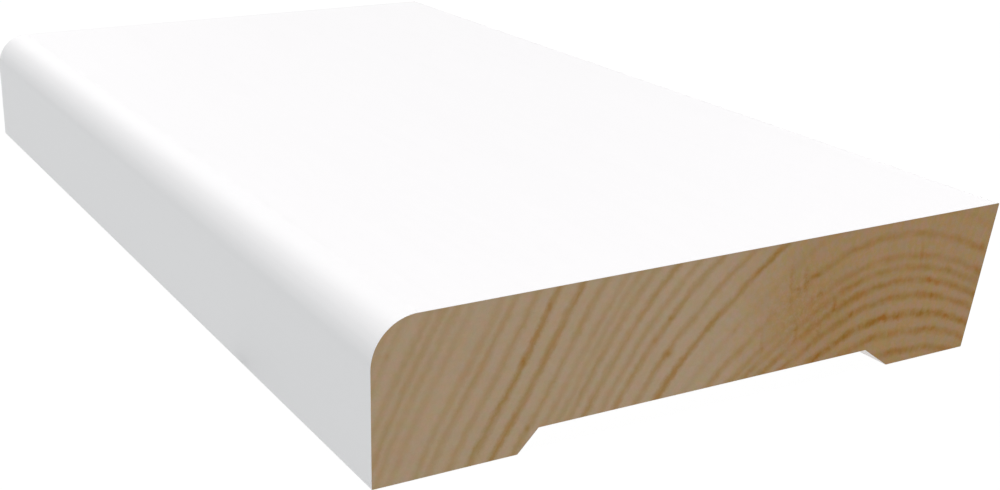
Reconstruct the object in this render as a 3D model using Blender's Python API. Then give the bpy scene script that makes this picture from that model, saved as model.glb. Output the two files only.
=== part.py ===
"""Skirting board: a length of painted pine moulding, lying on its back with its face up.

X runs across the board from the rounded edge to the sloped edge, Y along its length, and Z from the back
to the face. The origin is at the middle of the back. The cross-section is one flat outline: a face with
one rounded and one sharp edge, a sloped side, and a shallow groove along the back between two flat pads,
so that the board sits tight on an uneven wall. The outline is drawn once and carried straight along the
length, and both ends are cut square.
"""

import math

import bmesh
import bpy

# Sizes of the cross-section and the length, in metres
WIDTH = 0.056
THICKNESS = 0.012
LENGTH = 0.104
FACE_EDGE_RADIUS = 0.0035
ROUNDED_SIDE_PAD = 0.0112
SLOPED_SIDE_PAD = 0.0082
GROOVE_DEPTH = 0.0017

# Angles in degrees: the side's lean from upright, and the groove walls' rise from the back
SIDE_LEAN = 12.0
ROUNDED_SIDE_WALL_RISE = 45.0
SLOPED_SIDE_WALL_RISE = 36.0

# Finish of the paint and of the bare wood on the cut ends
PAINT_COLOUR = (0.86, 0.87, 0.87)
PAINT_ROUGHNESS = 0.42
PINE_COLOUR = (0.35, 0.22, 0.12)
PINE_ROUGHNESS = 0.75

ARC_STEPS = 18
WELD_DISTANCE = 0.00001
SMOOTH_UNDER_DEGREES = 20.0


def clear_scene():
    for item in list(bpy.data.objects):
        bpy.data.objects.remove(item, do_unlink=True)


def plain_material(name, colour, roughness):
    material = bpy.data.materials.new(name)
    material.use_nodes = True
    material.diffuse_color = (*colour, 1.0)
    shader = material.node_tree.nodes["Principled BSDF"]
    shader.inputs["Base Color"].default_value = (*colour, 1.0)
    shader.inputs["Roughness"].default_value = roughness
    shader.inputs["Metallic"].default_value = 0.0
    return material


def quarter_round(centre_x, centre_z, radius):
    """Points from the arc's leftmost point up to its highest, evenly spaced in angle."""
    turns = [math.pi - math.pi / 2 * step / ARC_STEPS for step in range(ARC_STEPS + 1)]
    return [(centre_x + radius * math.cos(turn), centre_z + radius * math.sin(turn)) for turn in turns]


def cross_section():
    """The outline as (x, z) points: up the rounded edge, across the face, down the side, along the back."""
    rounded_edge = -WIDTH / 2
    sharp_edge = WIDTH / 2
    side_foot = sharp_edge - THICKNESS * math.tan(math.radians(SIDE_LEAN))
    groove_from = rounded_edge + ROUNDED_SIDE_PAD
    groove_to = side_foot - SLOPED_SIDE_PAD
    first_wall_run = GROOVE_DEPTH / math.tan(math.radians(ROUNDED_SIDE_WALL_RISE))
    last_wall_run = GROOVE_DEPTH / math.tan(math.radians(SLOPED_SIDE_WALL_RISE))
    return [
        (rounded_edge, 0.0),
        *quarter_round(rounded_edge + FACE_EDGE_RADIUS, THICKNESS - FACE_EDGE_RADIUS, FACE_EDGE_RADIUS),
        (sharp_edge, THICKNESS),
        (side_foot, 0.0),
        (groove_to, 0.0),
        (groove_to - last_wall_run, GROOVE_DEPTH),
        (groove_from + first_wall_run, GROOVE_DEPTH),
        (groove_from, 0.0),
    ]


def standing_outline(points, length):
    """A flat filled curve of the points, thickened to the length and turned so that it runs along Y."""
    curve = bpy.data.curves.new("board outline", "CURVE")
    curve.dimensions = "2D"
    curve.fill_mode = "BOTH"
    curve.extrude = length / 2
    spline = curve.splines.new("POLY")
    spline.points.add(len(points) - 1)
    for corner, (x, z) in zip(spline.points, points):
        corner.co = (x, z, 0.0, 1.0)
    spline.use_cyclic_u = True
    outline = bpy.data.objects.new("board outline", curve)
    outline.rotation_euler = (math.pi / 2, 0.0, 0.0)
    bpy.context.scene.collection.objects.link(outline)
    bpy.context.view_layer.update()
    return outline


def closed_board(outline, name, paint, pine):
    """The outline as one welded mesh, painted all round and bare on the two cut ends."""
    graph = bpy.context.evaluated_depsgraph_get()
    mesh = bpy.data.meshes.new_from_object(outline.evaluated_get(graph))
    mesh.materials.clear()
    mesh.materials.append(paint)
    mesh.materials.append(pine)
    shape = bmesh.new()
    shape.from_mesh(mesh)
    bmesh.ops.remove_doubles(shape, verts=shape.verts, dist=WELD_DISTANCE)
    bmesh.ops.recalc_face_normals(shape, faces=shape.faces)
    for face in shape.faces:
        is_cut_end = abs(face.normal.z) > 0.5
        face.material_index = 1 if is_cut_end else 0
    shape.to_mesh(mesh)
    shape.free()
    mesh.name = name
    mesh.shade_smooth()
    mesh.set_sharp_from_angle(angle=math.radians(SMOOTH_UNDER_DEGREES))
    board = bpy.data.objects.new(name, mesh)
    board.matrix_world = outline.matrix_world
    bpy.data.objects.remove(outline, do_unlink=True)
    return board


def main():
    clear_scene()
    collection = bpy.data.collections.new("skirting board")
    bpy.context.scene.collection.children.link(collection)
    paint = plain_material("white paint", PAINT_COLOUR, PAINT_ROUGHNESS)
    pine = plain_material("bare pine", PINE_COLOUR, PINE_ROUGHNESS)
    outline = standing_outline(cross_section(), LENGTH)
    collection.objects.link(closed_board(outline, "skirting_board", paint, pine))


main()
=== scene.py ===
"""Skirting board: a short length of painted pine moulding on a pale floor, cut end to the viewer.

X runs across the board from the rounded edge to the sloped edge, Y along its length away from the
viewer, and Z from the back up to the face. The board is one closed mesh: its outline carried along
the length, a thin rim of cut paint round each end, and the bare end grain inside the rim. The year
rings are worked out by the same functions for the relief of the sawn wood and for its colour.
"""

import math

import bpy
import numpy as np
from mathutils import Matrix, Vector


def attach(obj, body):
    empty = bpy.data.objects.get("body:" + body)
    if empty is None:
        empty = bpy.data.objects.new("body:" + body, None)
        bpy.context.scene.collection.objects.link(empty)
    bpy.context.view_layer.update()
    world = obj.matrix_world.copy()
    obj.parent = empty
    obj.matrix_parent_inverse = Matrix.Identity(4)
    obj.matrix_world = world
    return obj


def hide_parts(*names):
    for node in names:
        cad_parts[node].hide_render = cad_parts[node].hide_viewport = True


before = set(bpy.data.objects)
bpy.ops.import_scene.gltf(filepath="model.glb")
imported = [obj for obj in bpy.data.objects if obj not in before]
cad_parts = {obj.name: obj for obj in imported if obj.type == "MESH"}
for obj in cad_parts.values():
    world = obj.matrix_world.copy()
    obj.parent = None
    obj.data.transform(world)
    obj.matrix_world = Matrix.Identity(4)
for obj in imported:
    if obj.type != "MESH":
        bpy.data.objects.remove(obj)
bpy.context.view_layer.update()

MM = 0.001

# The board's section and length, in millimetres
WIDTH = 56.0
THICKNESS = 12.0
LENGTH = 104.0
FACE_EDGE_RADIUS = 3.5
ARRIS_RADIUS = 0.1
PAINT_FILM = 0.02
ROUNDED_SIDE_PAD = 11.2
SLOPED_SIDE_PAD = 8.2
GROOVE_DEPTH = 1.7
SIDE_LEAN = 12.0
ROUNDED_SIDE_WALL_RISE = 45.0
SLOPED_SIDE_WALL_RISE = 36.0

# Spacing of the mesh, in millimetres, and steps in each rounded corner
CELL = 0.22
LENGTHWISE_CELL = 4.0
FACE_EDGE_STEPS = 32
ARRIS_STEPS = 4
SMOOTH_UNDER_DEGREES = 30.0

# The tree's year rings: how far above the back each one crests, in millimetres, and how dark it is
TRACE, FAINT, SOFT, WEAK, PLAIN, FIRM, HEAVY = 0.14, 0.2, 0.27, 0.33, 0.41, 0.52, 0.76
RING_CREST_X = 17.7
YEAR_RINGS = (
    (1.05, FIRM), (2.65, FIRM), (4.05, HEAVY), (5.55, FIRM), (6.85, FIRM), (7.95, PLAIN),
    (8.95, WEAK), (10.85, PLAIN), (13.1, TRACE), (15.95, FIRM), (18.35, WEAK), (20.85, PLAIN),
    (22.65, SOFT), (24.65, PLAIN), (26.75, WEAK), (28.15, FAINT), (29.65, FAINT), (31.95, WEAK),
    (34.85, FIRM), (37.85, FIRM), (40.85, SOFT), (43.85, SOFT), (45.85, FAINT), (49.85, TRACE),
    (52.05, FAINT), (54.05, SOFT), (55.95, FAINT), (59.15, TRACE), (60.95, TRACE),
)

# How the rings fall away from their crest, by the square and by the cube of the distance across.
# Then, in millimetres, how far each one's dark band reaches, how proud it stands and how far the
# rings drift across for each millimetre along the board.
RING_FALL = 0.0297
RING_FALL_SKEW = 0.0000988
RING_REACH = 0.54
LATEWOOD_PROUD = 0.02
RING_DRIFT = 0.004

# Two slow waves in the rings: height in millimetres, and radians for each millimetre of x and of z.
# Both start at the same angle.
RING_WAVES = ((0.16, 0.288, 0.239), (0.03, 2.1, -0.8))
WAVE_START = 1.7

# Oval patches of the end grain: the centre's x and z, half width and half height in millimetres,
# and the effect at the centre. Dents press the rings in, by millimetres, and the other patches
# change how dark the wood is.
RING_DENTS = ((3.0, 12.6, 7.0, 3.0, 0.3), (19.0, 1.8, 4.5, 4.5, 0.25))
DARKER_PATCH = (-4.5, 3.0, 4.5, 4.0, 0.4)
QUIET_PATCH = (6.0, 6.5, 7.0, 5.0, 0.75)
SMUDGED_PATCH = (8.3, 6.6, 6.8, 5.0, 0.27)
RESIN_MARKS = (
    (21.1, 6.6, 0.6, 0.45, 0.5), (21.4, 5.2, 0.4, 0.4, 0.4), (13.1, 5.1, 0.35, 0.5, 0.4),
    (26.4, 6.3, 0.6, 1.2, 0.25), (26.6, 8.6, 0.7, 0.7, 0.2), (20.0, 9.0, 0.3, 1.6, 0.25),
    (6.9, 8.6, 0.4, 3.2, 0.22), (8.3, 8.7, 0.4, 1.5, 0.4), (9.2, 8.9, 0.9, 0.3, 0.3),
    (7.6, 8.1, 0.9, 0.3, 0.25), (9.7, 7.3, 0.5, 0.4, 0.35), (11.3, 6.2, 0.4, 0.9, 0.35),
    (7.6, 4.6, 0.35, 1.4, 0.3), (9.9, 4.4, 0.35, 1.0, 0.35), (4.4, 4.3, 0.3, 1.4, 0.2),
    (1.7, 5.8, 0.4, 0.4, 0.15),
    (-4.2, 5.1, 0.8, 0.6, 0.3), (-4.2, 7.9, 0.5, 0.45, 0.22), (-5.5, 6.4, 0.55, 0.45, 0.22),
    (-16.1, 1.8, 0.4, 0.5, 0.25), (-14.5, 10.6, 0.35, 0.8, 0.2), (-16.5, 7.0, 0.4, 0.7, 0.2),
    (-26.8, 9.3, 0.35, 0.5, 0.15),
)

# Colours of the bare wood, each beside the rounded edge and beside the slope: the ground between
# the rings, and the rings' own brown
GROUND = ((0.45, 0.322, 0.199, 1.0), (0.4, 0.25, 0.116, 1.0))
BROWN = ((0.288, 0.126, 0.0, 1.0), (0.304, 0.12, 0.0, 1.0))

# Pairs of tints that the wood drifts between
RING_TINTS = ((1.09, 0.98, 1.0, 1.0), (0.93, 1.05, 1.0, 1.0))
GOLDEN_TINTS = ((1.0, 1.0, 1.0, 1.0), (1.0, 1.0, 0.75, 1.0))
BLUSH_TINTS = ((1.055, 0.97, 1.0, 1.0), (0.945, 1.03, 1.0, 1.0))
COOL_TINTS = ((1.0, 1.0, 1.18, 1.0), (1.0, 1.0, 0.82, 1.0))

# Colours of the paint, of the thinner paint on the back and of the wood that shows through it
WHITE = (0.866, 0.866, 0.868, 1.0)
THIN_WHITE = (0.66, 0.63, 0.615, 1.0)
WOOD_UNDER_PAINT = (0.62, 0.5, 0.36, 1.0)

# Colours of the light from all round and of the overhead light
ALL_ROUND_LIGHT = (0.383, 0.399, 0.413, 1.0)
WARM_WHITE = (1.0, 0.955, 0.945)

# The floor, in metres: half its width and how far it lies under the board
FLOOR_HALF = 4.0
FLOOR_DROP = 0.00002

# The camera at the photograph's viewing angle: metres, degrees, millimetres and parts of the width
CAMERA_PLACE = (-0.0670748, -0.1356186, 0.0486378)
CAMERA_TURN = (72.03463, -0.55959, -28.92004)
SENSOR_WIDTH = 36.0
FOCAL_LENGTH = 55.7904
LENS_SHIFT = (0.02719, -0.02349)


def is_signal(value):
    return isinstance(value, Signal)


class Signal:
    """A number that varies over a finish's surface. Arithmetic on it adds Math nodes."""

    def __init__(self, finish, socket):
        self.finish = finish
        self.socket = socket

    def maths(self, operation, *others):
        return self.finish.add(
            "ShaderNodeMath", {"operation": operation}, dict(enumerate((self, *others)))
        )

    def flipped(self, operation, other):
        return self.finish.add("ShaderNodeMath", {"operation": operation}, {0: other, 1: self})

    def __add__(self, other):
        return self.maths("ADD", other)

    def __radd__(self, other):
        return self.flipped("ADD", other)

    def __sub__(self, other):
        return self.maths("SUBTRACT", other)

    def __rsub__(self, other):
        return self.flipped("SUBTRACT", other)

    def __mul__(self, other):
        return self.maths("MULTIPLY", other)

    def __rmul__(self, other):
        return self.flipped("MULTIPLY", other)

    def __truediv__(self, other):
        return self.maths("DIVIDE", other)


class Finish:
    """A material in the making. Every node comes from its one method, add."""

    def __init__(self, name):
        self.material = bpy.data.materials.new(name)
        self.material.use_nodes = True
        self.tree = self.material.node_tree
        self.tree.nodes.clear()

    def add(self, kind, settings=None, inputs=None, output=0):
        """Adds a node: its settings, then its sockets, each from a number, a colour or a link."""
        node = self.tree.nodes.new(kind)
        for name, value in (settings or {}).items():
            setattr(node, name, value)
        for name, value in (inputs or {}).items():
            if is_signal(value):
                self.tree.links.new(value.socket, node.inputs[name])
            else:
                node.inputs[name].default_value = value
        return Signal(self, node.outputs[output]) if len(node.outputs) else node

    def millimetres(self):
        """The object's own coordinates as three signals, in millimetres."""
        place = self.add("ShaderNodeTexCoord", output="Object")
        split = self.add("ShaderNodeSeparateXYZ", inputs={0: place}).socket.node
        return [Signal(self, socket) * (1 / MM) for socket in split.outputs]

    def noise(self, x, y, z, detail=2.0, roughness=0.5):
        """Soft noise from 0 to 1 at a place given by three signals or numbers."""
        place = self.add("ShaderNodeCombineXYZ", inputs={0: x, 1: y, 2: z})
        shape = {"Vector": place, "Scale": 1.0, "Detail": detail, "Roughness": roughness}
        return self.add("ShaderNodeTexNoise", {"noise_dimensions": "3D"}, shape)

    def speckle(self, place, across, along, start=0.0, detail=2.0, roughness=0.5):
        """Soft noise with so many spots to a millimetre across the board and along it.

        A start of its own keeps one noise from repeating another.
        """
        x, y, z = place
        return self.noise(x * across, y * along, z * across + start, detail, roughness)

    def ramp(self, signal, low, high, at_low=0.0, at_high=1.0):
        """A signal eased from one level to another as it passes from low to high."""
        ends = {0: signal, 1: low, 2: high, 3: at_low, 4: at_high}
        return self.add("ShaderNodeMapRange", {"interpolation_type": "SMOOTHSTEP"}, ends)

    def mix(self, factor, first, second, blend="MIX"):
        """A colour between two, or the first blended with the second."""
        settings = {"data_type": "RGBA", "blend_type": blend, "clamp_factor": True}
        return self.add("ShaderNodeMix", settings, {0: factor, 6: first, 7: second}, output=2)

    def tinted(self, colour, factor, tints):
        """A colour multiplied by a tint between two."""
        return self.mix(1.0, colour, self.mix(factor, *tints), "MULTIPLY")

    def brighten(self, colour, factor):
        """A colour made lighter or darker by a factor that varies over the surface."""
        settings = {"operation": "SCALE"}
        return self.add("ShaderNodeVectorMath", settings, {0: colour, "Scale": factor})

    def close(self, colour, roughness, height, relief, specular=0.5):
        """Ends the finish: its shader takes the colour, roughness and a bump from the height."""
        skin = {"Strength": 1.0, "Distance": relief, "Height": height}
        bump = self.add("ShaderNodeBump", inputs=skin)
        looks = {"Base Color": colour, "Roughness": roughness, "Normal": bump}
        looks["Specular IOR Level"] = specular
        shader = self.add("ShaderNodeBsdfPrincipled", inputs=looks)
        self.add("ShaderNodeOutputMaterial", inputs={"Surface": shader})
        return self.material


def sine(value):
    return value.maths("SINE") if is_signal(value) else np.sin(value)


def root(value):
    return value.maths("SQRT") if is_signal(value) else np.sqrt(value)


def swell(distance, reach, top):
    """A smooth bump: its full height at distance 0, eased down to nothing at the reach."""
    if is_signal(distance):
        return distance.finish.ramp(distance.maths("ABSOLUTE"), 0.0, reach, top, 0.0)
    near = np.clip(1 - np.abs(distance) / reach, 0, 1)
    return top * near * near * (3 - 2 * near)


def patch(x, z, centre_x, centre_z, half_width, half_height, top):
    """A smooth oval bump: its full height at the centre, eased down to nothing at the edge."""
    over = (x - centre_x) / half_width
    up = (z - centre_z) / half_height
    return swell(root(over * over + up * up), 1.0, top)


def ring_height(x, y, z):
    """Which year ring a point is on, as the height where that ring crests.

    The rings are nested arches. Each falls away from its crest by the square and the cube of the
    distance across, so they are flat near the sloped side and steep near the rounded one. They
    drift a little along the length, wander by two slow waves and are pressed in at two places.
    Also gives how much longer a step up is than a step square to the ring.
    """
    along = y + LENGTH / 2
    across = x - RING_CREST_X + RING_DRIFT * along
    square = across * across
    slant = 2 * RING_FALL * across + 3 * RING_FALL_SKEW * square
    steepness = root(slant * slant + 1)
    wander = 0.0
    for size, per_x, per_z in RING_WAVES:
        wander = wander + size * sine(per_x * x + per_z * z + WAVE_START)
    for dent in RING_DENTS:
        wander = wander - patch(x, z, *dent)
    fall = RING_FALL * square + RING_FALL_SKEW * square * across
    height = z + fall - wander * steepness
    return height, steepness


def ring_darkness(x, z, height, steepness):
    """The sum of the rings' bands of dark latewood, each a smooth bump about its own height.

    The bands are darker in one oval patch low down and nearly die out in another of quiet wood.
    """
    reach = steepness * RING_REACH
    total = 0.0
    for place, darkness in YEAR_RINGS:
        total = total + swell(height - place, reach, darkness)
    total = total * (1.0 + patch(x, z, *DARKER_PATCH))
    return total * (1.0 - patch(x, z, *QUIET_PATCH))


def pine():
    """Bare end grain: a pale ground, brown rings frayed along their run, rays and resin marks."""
    finish = Finish("bare pine")
    place = x, y, z = finish.millimetres()
    height, steepness = ring_height(x, y, z)
    turn = (x - RING_CREST_X).maths("ARCTAN2", z + 9.0)
    jitter = finish.speckle(place, 1.3, 0.2, detail=4.0, roughness=0.8)
    height = height + (jitter - 0.5) * 0.66 * steepness
    rings = ring_darkness(x, z, height, steepness)

    to_slope = finish.ramp(x, -4.0, 12.0)
    fray = finish.noise(turn * 10.0, y * 0.2, height * 0.9, 4.0, 0.6)
    fray_depth = finish.ramp(x, -2.0, 10.0, 1.8, 2.6)
    gaps = finish.noise(turn * 26.0, y * 0.2, z * 0.25)
    rings = rings * (1.0 + (fray - 0.5) * fray_depth + (gaps - 0.5) * to_slope * 1.3)
    smudge = finish.speckle(place, 2.4, 0.2, start=9.0, detail=3.0, roughness=0.7)
    smudge = finish.ramp(smudge, 0.3, 0.62)
    rings = rings + smudge * patch(x, z, *SMUDGED_PATCH)
    for mark in RESIN_MARKS:
        rings = rings + patch(x + (jitter - 0.5) * 0.6, z, *mark) * (smudge * 0.7 + 0.6)

    olive = finish.noise(turn * 8.0, y * 0.2, height * 0.5 + 30.0, 3.0, 0.6)
    brown = finish.mix(to_slope, *BROWN)
    brown = finish.tinted(brown, finish.ramp(olive, 0.35, 0.65), RING_TINTS)
    colour = finish.mix(rings, finish.mix(to_slope, *GROUND), brown)
    colour = finish.tinted(colour, rings, GOLDEN_TINTS)

    rays = finish.noise(turn * 60.0, y * 0.3, height * 0.3)
    ray_depth = finish.ramp(x, -4.0, 8.0, 0.04, 0.12)
    cloud = finish.speckle(place, 0.35, 0.05)
    grain = finish.speckle(place, 1.7, 0.5, start=20.0, detail=3.0, roughness=0.6)
    pores = finish.speckle(place, 7.0, 0.5)
    light = (rays - 0.5) * ray_depth + (cloud - 0.5) * 0.06 + (pores - 0.5) * 0.12 + 1.0
    light = light + (grain - 0.5) * 0.12
    colour = finish.brighten(colour, light)

    blush = finish.speckle(place, 1.4, 0.1, start=40.0, detail=3.0, roughness=0.7) - 0.5
    colour = finish.tinted(colour, blush * (to_slope * 1.8 + 2.6) + 0.5, BLUSH_TINTS)
    cool = finish.speckle(place, 1.2, 0.1, start=70.0, detail=3.0, roughness=0.7) - 0.5
    colour = finish.tinted(colour, cool * (to_slope * 4.6 + 1.4) + 0.5, COOL_TINTS)
    rough = 0.78 - rings * 0.1 + (pores - 0.5) * 0.1
    return finish.close(colour, rough, pores + rays * 0.5, 0.02 * MM, specular=0.3)


def paint(name, white, cover, relief):
    """Satin white paint: nearly even, with the faint lengthwise run of the wood and a fine skin."""
    finish = Finish(name)
    place = finish.millimetres()
    skin = finish.speckle(place, 1.3, 1.3, detail=3.0)
    run = finish.speckle(place, 2.2, 0.04, detail=3.0)
    light = 1.0 + (run - 0.5) * 0.012 + (skin - 0.5) * 0.006
    thin = finish.ramp(run + (skin - 0.5) * 0.3, 0.35, 0.75, 0.0, 1.0 - cover)
    colour = finish.brighten(finish.mix(thin, white, WOOD_UNDER_PAINT), light)
    rough = 0.56 + (skin - 0.5) * 0.12 + (run - 0.5) * 0.1
    return finish.close(colour, rough, skin * 0.6 + run, relief)


def section_corners():
    """The section's corners in order, from the foot of the rounded side along the back."""
    foot = WIDTH / 2 - THICKNESS * math.tan(math.radians(SIDE_LEAN))
    groove_from = -WIDTH / 2 + ROUNDED_SIDE_PAD
    groove_to = foot - SLOPED_SIDE_PAD
    first_run = GROOVE_DEPTH / math.tan(math.radians(ROUNDED_SIDE_WALL_RISE))
    last_run = GROOVE_DEPTH / math.tan(math.radians(SLOPED_SIDE_WALL_RISE))
    return np.array([
        (-WIDTH / 2, 0.0), (groove_from, 0.0), (groove_from + first_run, GROOVE_DEPTH),
        (groove_to - last_run, GROOVE_DEPTH), (groove_to, 0.0), (foot, 0.0),
        (WIDTH / 2, THICKNESS), (-WIDTH / 2, THICKNESS),
    ])


def rounded_outline():
    """The outline with every corner rounded, as rows of x, z and the outward direction's x and z.

    At each corner the outward direction swings evenly from one side's to the next one's. The arc's
    centre lies back from the corner along the sum of the two, and each point is the centre plus
    the radius along the direction. An inner corner has a negative radius. Also gives each corner's
    first row.
    """
    corners = section_corners()
    sides = np.roll(corners, -1, axis=0) - corners
    sides = sides / np.linalg.norm(sides, axis=1, keepdims=True)
    outward = np.stack([sides[:, 1], -sides[:, 0]], axis=1)
    rows = []
    first_rows = []
    for corner, before, after in zip(corners, np.roll(outward, 1, axis=0), outward):
        is_face_edge = corner[0] < 0 and corner[1] == THICKNESS
        swing = math.atan2(before[0] * after[1] - before[1] * after[0], before @ after)
        radius = math.copysign(FACE_EDGE_RADIUS if is_face_edge else ARRIS_RADIUS, swing)
        steps = FACE_EDGE_STEPS if is_face_edge else ARRIS_STEPS
        centre = corner - radius * (before + after) / (1 + before @ after)
        angle = math.atan2(before[1], before[0]) + swing * np.linspace(0, 1, steps + 1)
        direction = np.stack([np.cos(angle), np.sin(angle)], axis=1)
        first_rows.append(sum(len(part) for part in rows))
        rows.append(np.hstack([centre + radius * direction, direction]))
    return np.vstack(rows), first_rows


def progress(chain):
    """How far along a chain each row is, from 0 to 1 of its length, and that length."""
    steps = np.hypot(*np.diff(chain[:, :2], axis=0).T)
    walked = np.concatenate([[0.0], np.cumsum(steps)])
    return walked / walked[-1], walked[-1]


def matched(first, second):
    """Two facing chains with rows added so that both have a row at every station of either."""
    first_at, first_length = progress(first)
    second_at, second_length = progress(second)
    even = np.linspace(0, 1, round(max(first_length, second_length) / CELL) + 1)
    stations = np.unique(np.round(np.concatenate([first_at, second_at, even]), 5))
    first = np.stack([np.interp(stations, first_at, column) for column in first.T], axis=1)
    second = np.stack([np.interp(stations, second_at, column) for column in second.T], axis=1)
    return first, second


def four_chains():
    """The outline in four chains: along the back, up the slope, across the face, up the round."""
    outline, first = rounded_outline()
    foot = first[0] + ARRIS_STEPS // 2
    slope_foot = first[5] + ARRIS_STEPS // 2
    slope_top = first[6] + ARRIS_STEPS // 2
    round_foot = first[7] + FACE_EDGE_STEPS
    back = outline[foot:slope_foot + 1]
    slope = outline[slope_foot:slope_top + 1]
    face = outline[slope_top:round_foot + 1][::-1]
    side = np.vstack([outline[round_foot:], outline[:foot + 1]])[::-1]
    back, face = matched(back, face)
    side, slope = matched(side, slope)
    return back, slope, face, side


def drawn_in(chain, distance):
    """The chain's points moved inwards by a distance."""
    return chain[:, :2] - distance * chain[:, 2:]


def filled(back, slope, face, side):
    """A surface over four edges.

    Each inner point is the straight blend between the back and the face, plus the one between the
    side and the slope, less the blend of the four corners.
    """
    s = progress(back)[0][:, None, None]
    t = progress(side)[0][None, :, None]
    upward = (1 - t) * back[:, None] + t * face[:, None]
    across = (1 - s) * side[None] + s * slope[None]
    corners = (1 - s) * ((1 - t) * back[0] + t * face[0]) + s * ((1 - t) * back[-1] + t * face[-1])
    return upward + across - corners


def rim(columns, rows):
    """The places of a grid's outer points in order round it, from the first corner."""
    place = np.arange(columns * rows).reshape(columns, rows)
    return np.concatenate([place[:-1, 0], place[-1, :-1], place[:0:-1, -1], place[0, :0:-1]])


def ladder(first, second):
    """Four-sided faces between two closed loops of the same length."""
    return np.stack([first, np.roll(first, -1), np.roll(second, -1), second], axis=1)


def grid_faces(columns, rows):
    """Four-sided faces over a grid of points."""
    place = np.arange(columns * rows).reshape(columns, rows)
    corners = [place[:-1, :-1], place[1:, :-1], place[1:, 1:], place[:-1, 1:]]
    return np.stack(corners, axis=-1).reshape(-1, 4)


def sawn_end(chains, y):
    """One cut end: the filled surface inside the paint film, sunk between the rings.

    The depth is the latewood's height times how far the ring darkness is below full, and nothing
    at the rim.
    """
    x, z = np.moveaxis(filled(*(drawn_in(chain, PAINT_FILM) for chain in chains)), -1, 0)
    height, steepness = ring_height(x, y, z)
    darkness = np.clip(ring_darkness(x, z, height, steepness), 0, 1)
    sunk = LATEWOOD_PROUD * (1 - darkness)
    sunk[[0, -1]] = 0
    sunk[:, [0, -1]] = 0
    depth = y - math.copysign(1, y) * sunk
    return np.stack([x, depth, z], axis=-1)


def closed_mesh(name, points, faces, kinds):
    """A mesh from whole arrays: points in millimetres, four-sided faces and each face's finish."""
    mesh = bpy.data.meshes.new(name)
    mesh.vertices.add(len(points))
    mesh.vertices.foreach_set("co", (points * MM).ravel())
    mesh.loops.add(faces.size)
    mesh.loops.foreach_set("vertex_index", faces.ravel().astype(np.int32))
    mesh.polygons.add(len(faces))
    mesh.polygons.foreach_set("loop_start", np.arange(0, faces.size, 4, dtype=np.int32))
    mesh.polygons.foreach_set("material_index", kinds.astype(np.int32))
    mesh.update(calc_edges=True)
    mesh.validate()
    return mesh


def board():
    """The whole board: the outline carried along the length, closed by the two sawn ends."""
    chains = four_chains()
    back, slope, face, side = (chain[:, :2] for chain in chains)
    columns, rows = len(back), len(side)
    loop = np.vstack([back[:-1], slope[:-1], face[:0:-1], side[:0:-1]])
    stations = np.linspace(-LENGTH / 2, LENGTH / 2, round(LENGTH / LENGTHWISE_CELL) + 1)
    around = len(loop)
    carried = np.empty((len(stations), around, 3))
    carried[..., 0] = loop[:, 0]
    carried[..., 1] = stations[:, None]
    carried[..., 2] = loop[:, 1]
    near = sawn_end(chains, -LENGTH / 2).reshape(-1, 3)
    far = sawn_end(chains, LENGTH / 2).reshape(-1, 3)
    points = np.vstack([near, far, carried.reshape(-1, 3)])

    near_from, far_from, loops_from = 0, len(near), len(near) + len(far)
    loops = loops_from + np.arange(carried.size // 3).reshape(len(stations), around)
    edge = rim(columns, rows)
    cells = grid_faces(columns, rows)
    skin = np.concatenate([ladder(low, high) for low, high in zip(loops[:-1], loops[1:])])
    near_rim = ladder(loops[0], near_from + edge)[:, ::-1]
    far_rim = ladder(loops[-1], far_from + edge)
    faces = np.vstack([cells + near_from, (cells + far_from)[:, ::-1], skin, near_rim, far_rim])
    on_back = np.tile(np.arange(around) < columns - 1, len(stations) - 1)
    kinds = np.concatenate([
        np.full(2 * len(cells), 1), np.where(on_back, 2, 0), np.zeros(2 * around, int),
    ])
    mesh = closed_mesh("board", points, faces, kinds)
    mesh.materials.append(paint("white paint", WHITE, cover=1.0, relief=0.004 * MM))
    mesh.materials.append(pine())
    mesh.materials.append(paint("thin white paint", THIN_WHITE, cover=0.85, relief=0.02 * MM))
    mesh.shade_smooth()
    mesh.set_sharp_from_angle(angle=math.radians(SMOOTH_UNDER_DEGREES))
    made = bpy.data.objects.new("board", mesh)
    bpy.context.scene.collection.objects.link(made)
    return made


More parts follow.
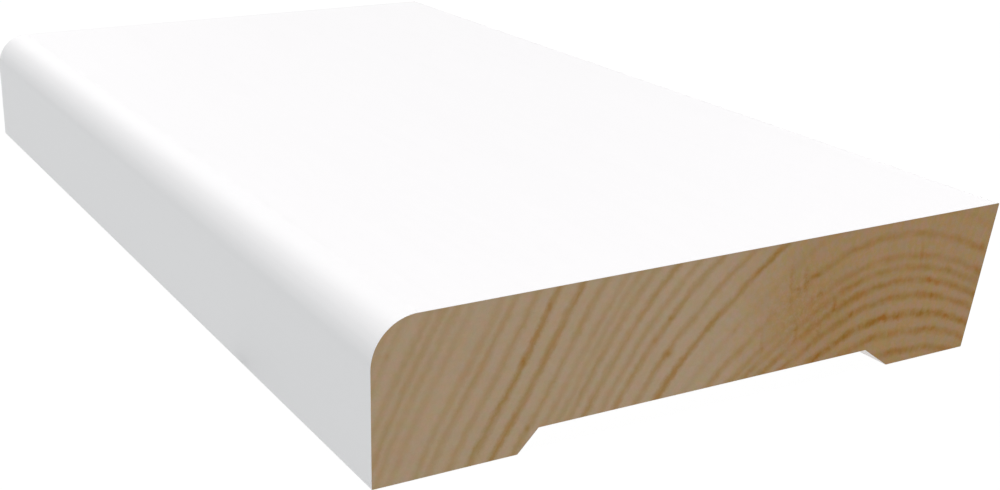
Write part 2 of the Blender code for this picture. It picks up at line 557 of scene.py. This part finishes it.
def floor():
    """A pale floor that glows, as a light table does, so that hardly any shadow lies on it."""
    mesh = bpy.data.meshes.new("floor")
    corners = ((-1, -1), (1, -1), (1, 1), (-1, 1))
    square = [(x * FLOOR_HALF, y * FLOOR_HALF, -FLOOR_DROP) for x, y in corners]
    mesh.from_pydata(square, [], [(0, 1, 2, 3)])
    finish = Finish("pale floor")
    looks = {"Base Color": (0.05, 0.05, 0.05, 1.0), "Roughness": 0.9, "Specular IOR Level": 0.0}
    looks.update({"Emission Color": (1.0, 1.0, 1.0, 1.0), "Emission Strength": 0.97})
    shader = finish.add("ShaderNodeBsdfPrincipled", inputs=looks)
    finish.add("ShaderNodeOutputMaterial", inputs={"Surface": shader})
    mesh.materials.append(finish.material)
    made = bpy.data.objects.new("floor", mesh)
    bpy.context.scene.collection.objects.link(made)
    return made


def soft_sun(name, towards, strength, spread, colour=(1.0, 1.0, 1.0)):
    """A wide distant light from a direction, like a big softbox far away."""
    lamp = bpy.data.lights.new(name, "SUN")
    lamp.energy = strength
    lamp.angle = math.radians(spread)
    lamp.color = colour
    made = bpy.data.objects.new(name, lamp)
    made.rotation_euler = Vector(towards).to_track_quat("Z", "Y").to_euler()
    bpy.context.scene.collection.objects.link(made)


def studio():
    """Even light all round, a large light overhead, a weaker one behind and a faint one aside."""
    world = bpy.data.worlds.new("studio")
    world.use_nodes = True
    background = world.node_tree.nodes["Background"]
    background.inputs["Color"].default_value = ALL_ROUND_LIGHT
    bpy.context.scene.world = world
    overhead = (0.12, -0.05, 0.99)
    soft_sun("overhead light", overhead, strength=2.14, spread=20.0, colour=WARM_WHITE)
    soft_sun("back light", (-0.06, 0.83, 0.556), strength=0.55, spread=25.0)
    soft_sun("side light", (0.75, 0.55, 0.37), strength=0.12, spread=30.0)
    bpy.context.scene.view_settings.view_transform = "Standard"


def camera():
    """The camera that took the photograph, as far as the board's edges tell."""
    lens = bpy.data.cameras.new("camera")
    lens.sensor_fit = "HORIZONTAL"
    lens.sensor_width = SENSOR_WIDTH
    lens.lens = FOCAL_LENGTH
    lens.shift_x, lens.shift_y = LENS_SHIFT
    lens.clip_start = 0.005
    made = bpy.data.objects.new("camera", lens)
    made.location = CAMERA_PLACE
    made.rotation_euler = [math.radians(angle) for angle in CAMERA_TURN]
    bpy.context.scene.collection.objects.link(made)
    bpy.context.scene.camera = made


piece = board()
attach(piece, "root")
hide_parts("skirting_board")
floor()
studio()
camera()
